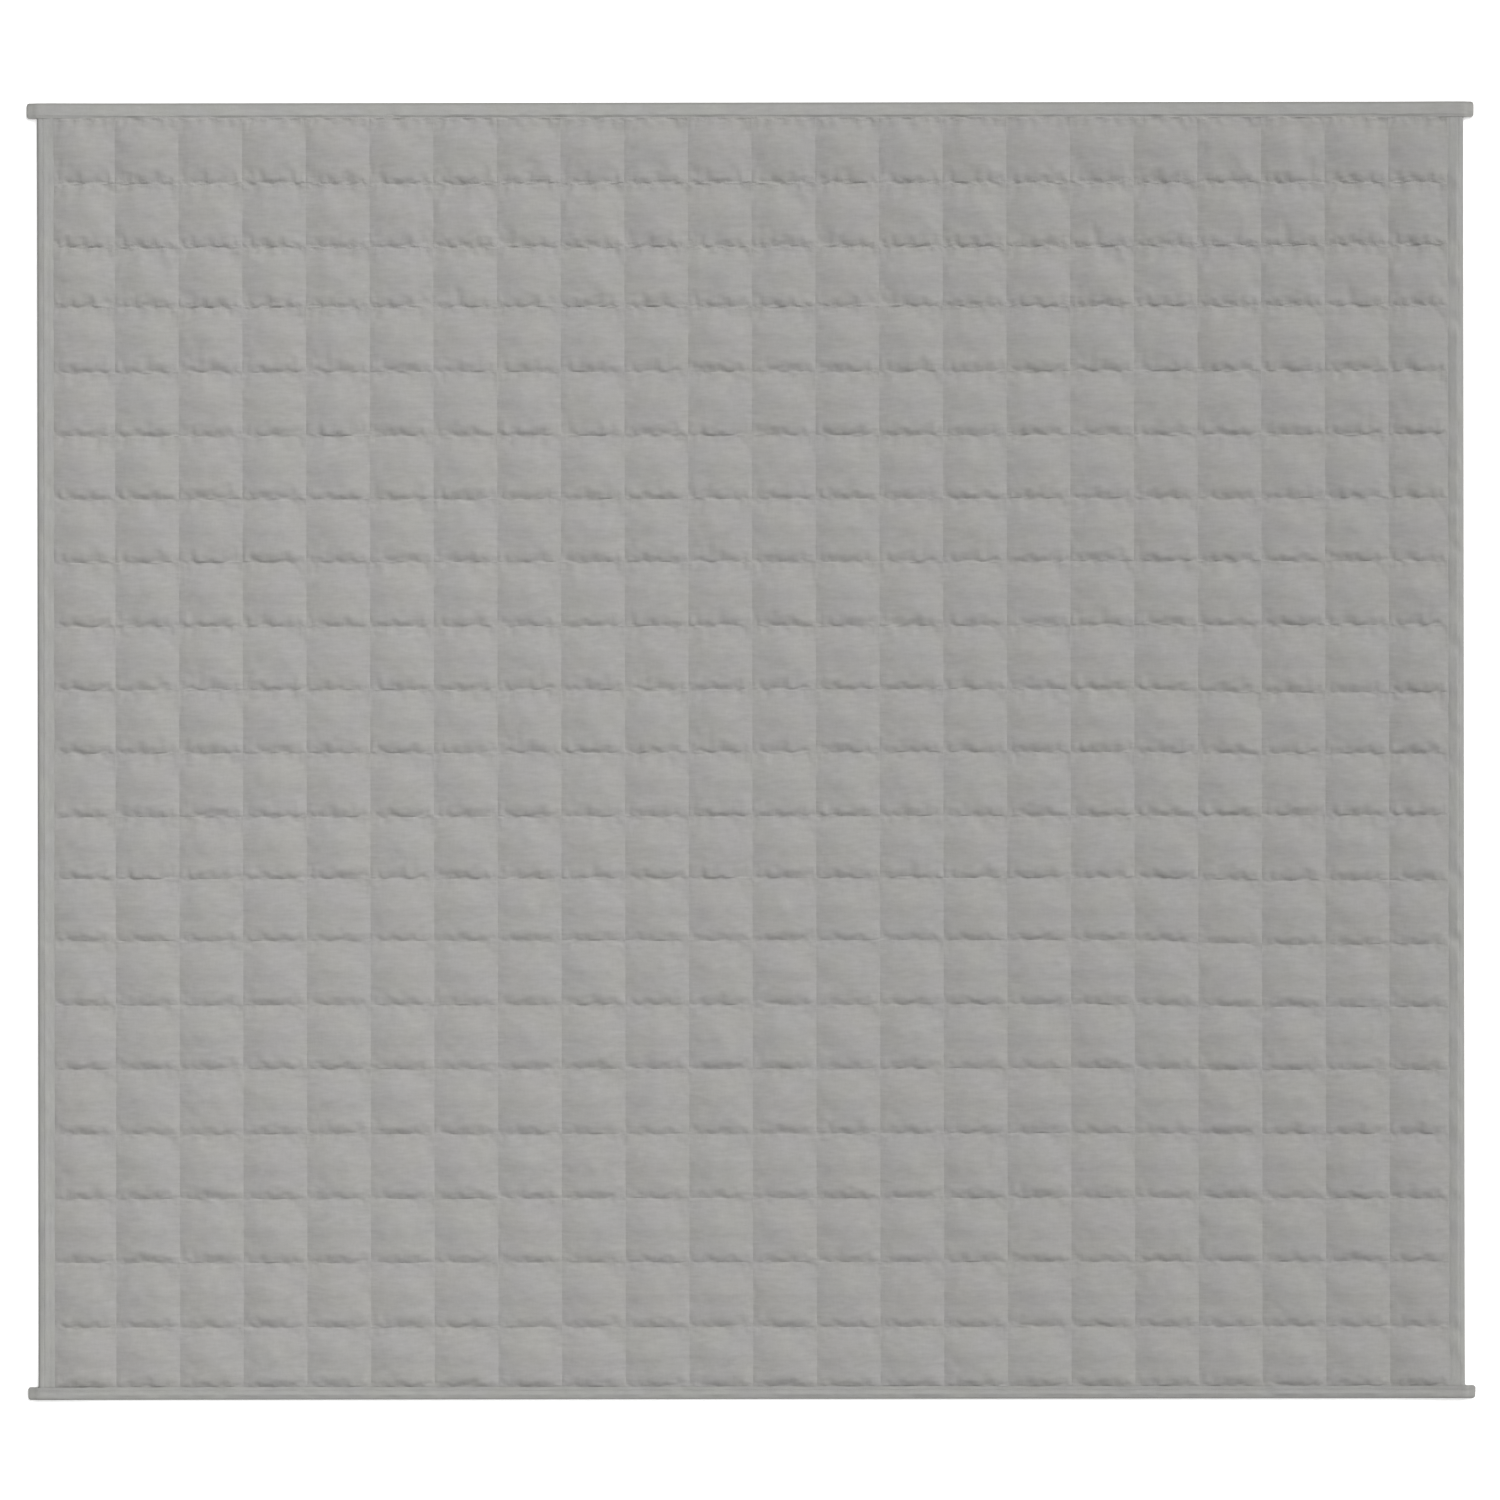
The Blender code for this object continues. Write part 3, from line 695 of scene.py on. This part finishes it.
def make_tape(name, along, profile, is_open, place):
    """A folded tape. profile gives width, height, crest, lift and start at each station, is_open says where
    the channel for the quilt runs through, and place turns (along, out, up) into points."""
    sewing = TAPES[name]
    stations = len(along)
    wave = random_wave(along, RIDGE_WAVE_KNOTS)
    shape = {key: np.broadcast_to(value, stations)[:, None] for key, value in profile.items()}
    ripple = RIDGE_WAVE * shape["crest"] * wave[:, None]
    outer_path, inner_path = tape_paths(ripple=ripple, sewing=sewing, **shape)
    wobble = EDGE_WAVE * random_wave(along, EDGE_WAVE_KNOTS)
    fade = np.clip(1 - outer_path[..., 0] / shape["width"], 0, 1)
    for path in (outer_path, inner_path):
        path[..., 0] -= (wobble * (shape["crest"][:, 0] > LEAST_CREST))[:, None] * fade
    count = outer_path.shape[1]
    outer = np.arange(stations * count).reshape(stations, count)
    inner = outer + outer.size
    joined = is_open[:-1] & is_open[1:]
    faces = [
        np.concatenate([strip(outer[:, k], outer[:, k + 1]) for k in range(count - 1)]),
        np.concatenate([strip(inner[:, k + 1], inner[:, k])[joined] for k in range(count - 1)]),
        strip(outer[:, -1], inner[:, -1]),
        strip(inner[:, 0], outer[:, 0]),
        strip(inner[:, 0], inner[:, -1])[~joined],
    ]
    change = np.diff(is_open.astype(int))
    faces += [inner[[k]] for k in (*np.flatnonzero(change == 1) + 1, *np.flatnonzero(change == -1))]
    for end in (0, -1):
        if is_open[end]:
            faces.append(strip(outer[end], inner[end]))
        else:
            faces.append(np.concatenate([outer[end], inner[end, [-1, 0]]])[None])
    path = np.concatenate([outer_path.reshape(-1, 2), inner_path.reshape(-1, 2)])
    points = place(np.tile(np.repeat(along, count), 2), path[:, 0], path[:, 1])
    lengths = np.linalg.norm(np.diff(outer_path, axis=1), axis=-1).cumsum(1)
    lengths = np.pad(lengths, ((0, 0), (1, 0)))
    uv = np.stack([np.tile(np.repeat(along, count), 2), np.tile(lengths.ravel(), 2)], -1)

    # Painted shade along the rounded fold: each tape's share of darkening, fading out over a few millimetres
    from_fold = shape["start"] + shape["width"] - outer_path[..., 0]
    painted_fold_shade = sewing["painted_fold_shade"] * np.clip(1 - from_fold / PAINTED_SHADE_WIDTH, 0, 1)
    used = np.unique(np.concatenate([face.ravel() for face in faces]))
    renumber = np.zeros(len(points), int)
    renumber[used] = np.arange(len(used))
    piece = new_piece(
        name.replace("binding", "tape"), points[used], [renumber[face] for face in faces], uv[used],
        {"painted_fold_shade": np.tile(painted_fold_shade.ravel(), 2)[used]},
    )
    tidy_normals(piece)
    piece.data.set_sharp_from_angle(angle=SHARP_FOLD)
    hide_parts(name)
    print(piece.name, len(used), "points")
    return piece, along, outer_path, place, sewing


# %% The two side tapes
side_along = np.linspace(-MARGIN_END, MARGIN_END, int(2 * MARGIN_END / TAPE_STEP))
knots = [-MARGIN_END, FOOT_INNER, row_seams[-2, 0], row_seams[1, 0], HEAD_INNER, MARGIN_END]
pressed = np.interp(side_along, knots, [1, 1, 0, 0, 1, 1])


def side_profile(ridge_height):
    """A side tape at each station: a layer higher and without its ridge where the end tape presses on it."""
    return {
        "width": SIDE_TAPE_WIDTH, "height": TAPE_HEIGHT, "crest": ridge_height * (1 - pressed),
        "lift": MARGIN_LIFT * pressed, "start": 0.0,
    }


def beside(side):
    """What turns (along, out from the sewn edge, up) into points, on the left side (-1) or the right (1)."""
    return lambda along, out, up: np.stack([side * (SIDE_INNER + out), along, up], -1)


always = np.ones(len(side_along), bool)
tapes = {
    name: make_tape(name, side_along, side_profile(TAPES[name]["crest"]), always, beside(side))
    for name, side in (("binding_left", -1), ("binding_right", 1))
}

# %% The head and foot tapes
END_CORNER, END_HEIGHT, TIP_HEIGHT = 0.004, 0.0046, 0.0030
CROSSING_CREST = 0.1  # share of the ridge that is left where the tape crosses a side tape
TIP_STEPS, TAB_STEPS, OVER_STEPS = 6, 4, 6
tip = SIDE_EDGE + TAPE_END
corner_turn = pi / 2 * np.linspace(0, 1, TIP_STEPS)
tip_places = tip - END_CORNER * (1 - np.cos(corner_turn))
tab_places = np.linspace(tip_places.min(), SIDE_EDGE + GAP, TAB_STEPS)[1:]
over_places = np.linspace(SIDE_EDGE + GAP, SIDE_INNER, OVER_STEPS)[1:]
run_places = np.linspace(-SIDE_INNER, SIDE_INNER, int(2 * SIDE_INNER / TAPE_STEP))[1:-1]
half_places = np.concatenate([tip_places, tab_places, over_places])
end_along = np.concatenate([-half_places, run_places, half_places[::-1]])


def end_profile(width, ridge_height):
    """The head or foot tape at each station. Over the side tape it is a layer higher. In the tab it thins
    towards the tip, and a quarter circle rounds both of its corners."""
    outwards = np.abs(end_along)
    sunk = np.clip((outwards - (tip - END_CORNER)) / END_CORNER, 0, 1)
    inward = END_CORNER * (1 - np.sqrt(1 - sunk ** 2))
    height = np.interp(
        outwards,
        [column_seams[-2], SIDE_INNER, SIDE_EDGE + GAP, SIDE_EDGE + TAPE_END / 2, tip - END_CORNER, tip],
        [TAPE_HEIGHT, CORNER_TAPE_HEIGHT, CORNER_TAPE_HEIGHT, END_HEIGHT, END_HEIGHT, TIP_HEIGHT],
    )
    crest = ridge_height * np.interp(outwards, [column_seams[-2], SIDE_INNER], [1, CROSSING_CREST])
    return {"width": width - 2 * inward, "height": height, "crest": crest, "lift": 0.0, "start": inward}


def beyond_edge(sewn_edge, way):
    """The same for a tape whose sewn edge runs across the blanket: its fold is up the blanket from there (1)
    or down it (-1)."""
    return lambda along, out, up: np.stack([along, sewn_edge + way * out, up], -1)


runs_through = np.abs(end_along) <= SIDE_EDGE + GAP + TINY
for name, width, sewn_edge, way, rests_on in (
    ("binding_head", HEAD_TAPE_WIDTH, HEAD_INNER, 1, bands[:1]),
    ("binding_foot", FOOT_TAPE_WIDTH, FOOT_INNER, -1, bands[-1:]),
):
    profile = end_profile(width, TAPES[name]["crest"])
    tapes[name] = make_tape(name, end_along, profile, runs_through, beyond_edge(sewn_edge, way))

# %% [markdown]
# ## The topstitches
# One row of stitches runs along each tape, in the dent. A stitch is a short length of thread that comes
# up through the cloth, lies on it and goes down again: four small squares in a row, the outer two thinner
# and lower. So a stitch has sixteen points, and all the stitches together are one mesh.

# %% One row of stitches for each tape
STITCH = 0.0036  # from one stitch to the next
STITCH_LENGTH, THREAD_RADIUS = 0.0030, 0.00028
RING_AT = np.array([-0.5, -0.28, 0.28, 0.5])
RING_RADIUS = np.array([0.45, 1.0, 1.0, 0.45])
RING_HEIGHT = np.array([-0.00022, 0.00010, 0.00010, -0.00022])
RING_CORNERS = 4
STITCH_POINTS = len(RING_AT) * RING_CORNERS


def stitch_row(along, outer_path, place, sewing):
    """The points of one row, stitch after stitch and ring after ring. It stops short of the tape's ends. The
    upper leaf's height is read off where it is sewn, first at every station and then at every ring."""
    row_length = along[-1] - along[0] - 2 * sewing["end"]
    count = int(row_length / STITCH)
    middles = along[0] + sewing["end"] + (np.arange(count) + 0.5) * row_length / count
    sewn_at = outer_path[..., 0].max() - sewing["dent"]
    leaf = outer_path[:, :len(LOWER_PLACES) + len(FOLD_TURNS) - 1:-1]
    height = np.array([np.interp(sewn_at, line[:, 0], line[:, 1]) for line in leaf])
    s = middles[:, None] + RING_AT * STITCH_LENGTH
    z = np.interp(s, along, height) + RING_HEIGHT
    turn = pi / 4 + pi / 2 * np.arange(RING_CORNERS)
    radius = (THREAD_RADIUS * RING_RADIUS)[:, None]
    out, up = radius * np.cos(turn), radius * np.sin(turn)
    across = sewn_at + np.broadcast_to(out, (count, *out.shape))
    return place(np.repeat(s, RING_CORNERS), across.ravel(), (z[..., None] + up).ravel())


points = np.concatenate([stitch_row(*shape) for _, *shape in tapes.values()])
rings = np.arange(STITCH_POINTS).reshape(-1, RING_CORNERS)
next_corner = np.roll(rings, -1, axis=1)
sides = np.stack([rings[:-1], rings[1:], next_corner[1:], next_corner[:-1]], -1).reshape(-1, RING_CORNERS)
one_stitch = np.concatenate([sides, rings[[0]], rings[[-1], ::-1]])
stitches = len(points) // STITCH_POINTS
stitch_faces = (STITCH_POINTS * np.arange(stitches)[:, None, None] + one_stitch).reshape(-1, RING_CORNERS)
topstitches = new_piece("topstitches", points, [stitch_faces], points[:, :2])
tidy_normals(topstitches)
print(stitches, "stitches,", 2 * len(stitch_faces), "triangles")

# %% [markdown]
# ## Cloth, as nodes
# A close plain weave, too fine to see from above, with slubs where a thread is thicker, and a faint
# mottle in the dye. Maths on a socket is written as maths: a small class wraps the socket and turns
# each operator into a Math node.

# %% Sockets that add and multiply


class Number:
    """A socket that carries a number. An operator on it adds the Math node that does it."""

    def __init__(self, paint, socket):
        self.paint, self.socket = paint, socket

    def _math(self, operation, *others):
        return self.paint.add("ShaderNodeMath", {"operation": operation}, [self, *others])

    def __add__(self, other):
        return self._math("ADD", other)

    def __sub__(self, other):
        return self._math("SUBTRACT", other)

    def __rsub__(self, other):
        return self.paint.add("ShaderNodeMath", {"operation": "SUBTRACT"}, [other, self])

    def __mul__(self, other):
        return self._math("MULTIPLY", other)

    def __truediv__(self, other):
        return self._math("DIVIDE", other)

    def __lt__(self, other):
        return self._math("LESS_THAN", other)

    def wave(self):
        return self._math("SINE")

    def remainder(self):
        return self._math("FRACT")

    def above_zero(self):
        return self._math("MAXIMUM", 0.0)

    def at_most_one(self):
        return self._math("MINIMUM", 1.0)

    __radd__, __rmul__ = __add__, __mul__


class Paint:
    """A new material. add() is the one way to make a node: its type, its settings, then its sockets."""

    def __init__(self, name, **shader):
        self.material = bpy.data.materials.new(name)
        self.material.use_nodes = True
        self.tree = self.material.node_tree
        self.shader = self.tree.nodes["Principled BSDF"]
        self.join(self.shader, shader)

    def join(self, node, sockets):
        """Links or sets sockets, by name or in order. None leaves a socket as it is."""
        pairs = sockets.items() if isinstance(sockets, dict) else enumerate(sockets)
        for key, value in pairs:
            if isinstance(value, Number):
                self.tree.links.new(value.socket, node.inputs[key])
            elif value is not None:
                node.inputs[key].default_value = value

    def add(self, kind, settings=(), sockets=(), output=0):
        node = self.tree.nodes.new(kind)
        for key, value in dict(settings).items():
            setattr(node, key, value)
        self.join(node, sockets)
        return Number(self, node.outputs[output])

    def noise(self, place, scale, detail=2.0, roughness=0.5):
        """Soft random blobs. scale is how many there are to the metre."""
        return self.add("ShaderNodeTexNoise", {}, {
            "Vector": place, "Scale": scale, "Detail": detail, "Roughness": roughness})

    def value(self, name):
        return self.add("ShaderNodeAttribute", {"attribute_name": name}, output=2)

    def grain(self, place, scale, detail=2.0, roughness=0.5):
        """Noise that is drawn out: scale is how many blobs there are to the metre, along each axis."""
        stretched = self.add("ShaderNodeMapping", {}, {"Vector": place, "Scale": scale})
        return self.noise(stretched, 1.0, detail, roughness)

    def blend(self, share, first, second, mode="MIX"):
        settings = {"data_type": "RGBA", "clamp_factor": True, "blend_type": mode}
        return self.add("ShaderNodeMix", settings, {0: share, 6: first, 7: second}, output=2)

    def bump(self, height, distance, strength, normal=None):
        return self.add("ShaderNodeBump", {}, {
            "Height": height, "Distance": distance, "Strength": strength, "Normal": normal})


# %% The quilt's and the tape's cloth
THREAD = 0.00055  # from one thread to the next
STITCH_GAP, STITCH_HALF_WIDTH = 0.2, 0.0005
GATHER_FROM, GATHER_FADE = 0.62, 0.08  # the rows near the head are gathered more
DRAWN_IN, PUCKERED = 0.030, 0.014  # how far from a seam the smallest wrinkles reach
QUILT_LIGHT, QUILT_DARK = (0.324, 0.3208, 0.305, 1), (0.247, 0.2454, 0.232, 1)
TAPE_LIGHT, TAPE_DARK = (0.333, 0.334, 0.316, 1), (0.260, 0.261, 0.2455, 1)
THREAD_COLOUR, THREAD_DARK = (0.345, 0.343, 0.333, 1), (0.275, 0.273, 0.262, 1)
FOLD_SHADE_COLOUR = (0.170, 0.170, 0.160, 1)
# Where the dye took a little differently: the patches' scale, detail, roughness, contrast, level and tint
CASTS = (
    (16.0, 2.0, 0.5, 3.4, 1.2, (0.992, 0.990, 1.024, 1)),
    (9.0, 3.0, 0.6, 4.0, 1.5, (1.007, 0.994, 1.000, 1)),
)
WEFT_GRAIN, WARP_GRAIN, BLOTCH_GRAIN, MOTTLE_SCALE = (48, 160, 1), (330, 75, 1), (16, 24, 1), 45.0
WRINKLE_GRAIN, PUCKER_GRAIN, TAPE_GRAIN = (35, 190, 1), (150, 210, 1), (60, 150, 1)
WEFT_TONE, WARP_TONE, MOTTLE_TONE, BLOTCH_TONE, TONE_LEVEL = 0.95, 0.36, 0.45, 0.35, 0.555
WEFT_RELIEF, WARP_RELIEF, WRINKLE_RELIEF, PUCKER_RELIEF, TAPE_RELIEF = 0.6, 0.4, 2.0, 1.8, 1.5
COLUMN_STITCH_AND_HIGHLIGHT, ROW_STITCH = 0.15, 0.05  # how much the stitches along the seams show; along the column seams the first also lightens the colour towards the thread's, partly thread and partly a painted highlight
GATHER_MORE = 2.0
WEAVE_HEIGHT, WEAVE_STRENGTH, RELIEF_HEIGHT, RELIEF_STRENGTH = 0.00004, 0.5, 0.0004, 0.6
LEAST_ROUGH, ROUGH_SPREAD = 0.86, 0.1
SPUN_SCALE, SPUN_HEIGHT, SPUN_STRENGTH = 900.0, 0.0001, 0.5


def cloth_paint(name, light, dark, seams):
    """A plain weave: two sets of waves that cross, on the cloth's own map. Slubs are noise drawn out along
    each thread, and the mottle is slow noise in the colour."""
    paint = Paint(name, **{"Specular IOR Level": 0.25, "Sheen Weight": 0.12, "Sheen Roughness": 0.5})
    cloth = paint.add("ShaderNodeUVMap", {"uv_map": "cloth"})
    x = paint.add("ShaderNodeSeparateXYZ", {}, [cloth])
    y = Number(paint, x.socket.node.outputs["Y"])
    weave = (x * (2 * pi / THREAD)).wave() * (y * (2 * pi / THREAD)).wave()
    weft = paint.grain(cloth, WEFT_GRAIN, 3.0, 0.55)
    warp = paint.grain(cloth, WARP_GRAIN, 3.0, 0.55)
    mottle = paint.noise(cloth, MOTTLE_SCALE, 3.0, 0.6)
    blotch = paint.grain(cloth, BLOTCH_GRAIN)
    tone = weft * WEFT_TONE + warp * WARP_TONE + mottle * MOTTLE_TONE + blotch * BLOTCH_TONE - TONE_LEVEL
    colour = paint.blend(tone, dark, light)
    for scale, detail, roughness, contrast, level, tint in CASTS:
        patches = paint.noise(cloth, scale, detail, roughness) * contrast - level
        colour = paint.blend(patches, paint.blend(1.0, colour, tint, "MULTIPLY"), colour)
    height = weft * WEFT_RELIEF + warp * WARP_RELIEF
    if seams:
        from_column, from_row = paint.value("from_column"), paint.value("from_row")
        near_column, near_row = 1 - from_column / DRAWN_IN, 1 - from_row / PUCKERED
        drawn_in = paint.grain(cloth, WRINKLE_GRAIN, 2.0, 0.6) * near_column.above_zero()
        gathered = ((y - GATHER_FROM) / GATHER_FADE).above_zero().at_most_one()
        puckered = paint.grain(cloth, PUCKER_GRAIN, 2.0, 0.6) * near_row.above_zero()
        puckered = puckered * (gathered * GATHER_MORE + 1.0)
        along_column = (y / STITCH).remainder() < 1 - STITCH_GAP
        along_row = (x / STITCH).remainder() < 1 - STITCH_GAP
        on_column = (from_column < STITCH_HALF_WIDTH) * along_column
        on_row = (from_row < STITCH_HALF_WIDTH) * along_row
        # Partly thread and partly painted highlight: a thin light line of thread colour along the column
        # seams only
        colour = paint.blend(on_column * COLUMN_STITCH_AND_HIGHLIGHT, colour, THREAD_COLOUR)
        height = height + on_column * COLUMN_STITCH_AND_HIGHLIGHT + on_row * ROW_STITCH
        height = height + drawn_in * WRINKLE_RELIEF + puckered * PUCKER_RELIEF
    else:
        # Painted shade: the colour darkens towards a dark grey along the tape's fold
        colour = paint.blend(paint.value("painted_fold_shade"), colour, FOLD_SHADE_COLOUR)
        height = height + paint.grain(cloth, TAPE_GRAIN) * TAPE_RELIEF
    fine = paint.bump(weave, WEAVE_HEIGHT, WEAVE_STRENGTH)
    soft = paint.bump(height, RELIEF_HEIGHT, RELIEF_STRENGTH, fine)
    paint.join(paint.shader, {
        "Base Color": colour, "Roughness": LEAST_ROUGH + ROUGH_SPREAD * mottle, "Normal": soft})
    return paint.material


def thread_cloth():
    """Spun thread: one colour, a little uneven along its length."""
    paint = Paint("sewing_thread", Roughness=0.6, **{"Sheen Weight": 0.1})
    place = paint.add("ShaderNodeTexCoord", output=3)
    uneven = paint.noise(place, SPUN_SCALE)
    colour = paint.blend(uneven, THREAD_DARK, THREAD_COLOUR)
    paint.join(paint.shader, {"Base Color": colour, "Normal": paint.bump(uneven, SPUN_HEIGHT, SPUN_STRENGTH)})
    return paint.material


thread_paint = thread_cloth()
quilt_cloth = cloth_paint("quilt_cotton", light=QUILT_LIGHT, dark=QUILT_DARK, seams=True)
tape_cloth = cloth_paint("tape_cotton", light=TAPE_LIGHT, dark=TAPE_DARK, seams=False)
for band in bands:
    band.data.materials.append(quilt_cloth)
for piece, *_ in tapes.values():
    piece.data.materials.append(tape_cloth)
topstitches.data.materials.append(thread_paint)
print("materials:", quilt_cloth.name, tape_cloth.name, thread_paint.name)
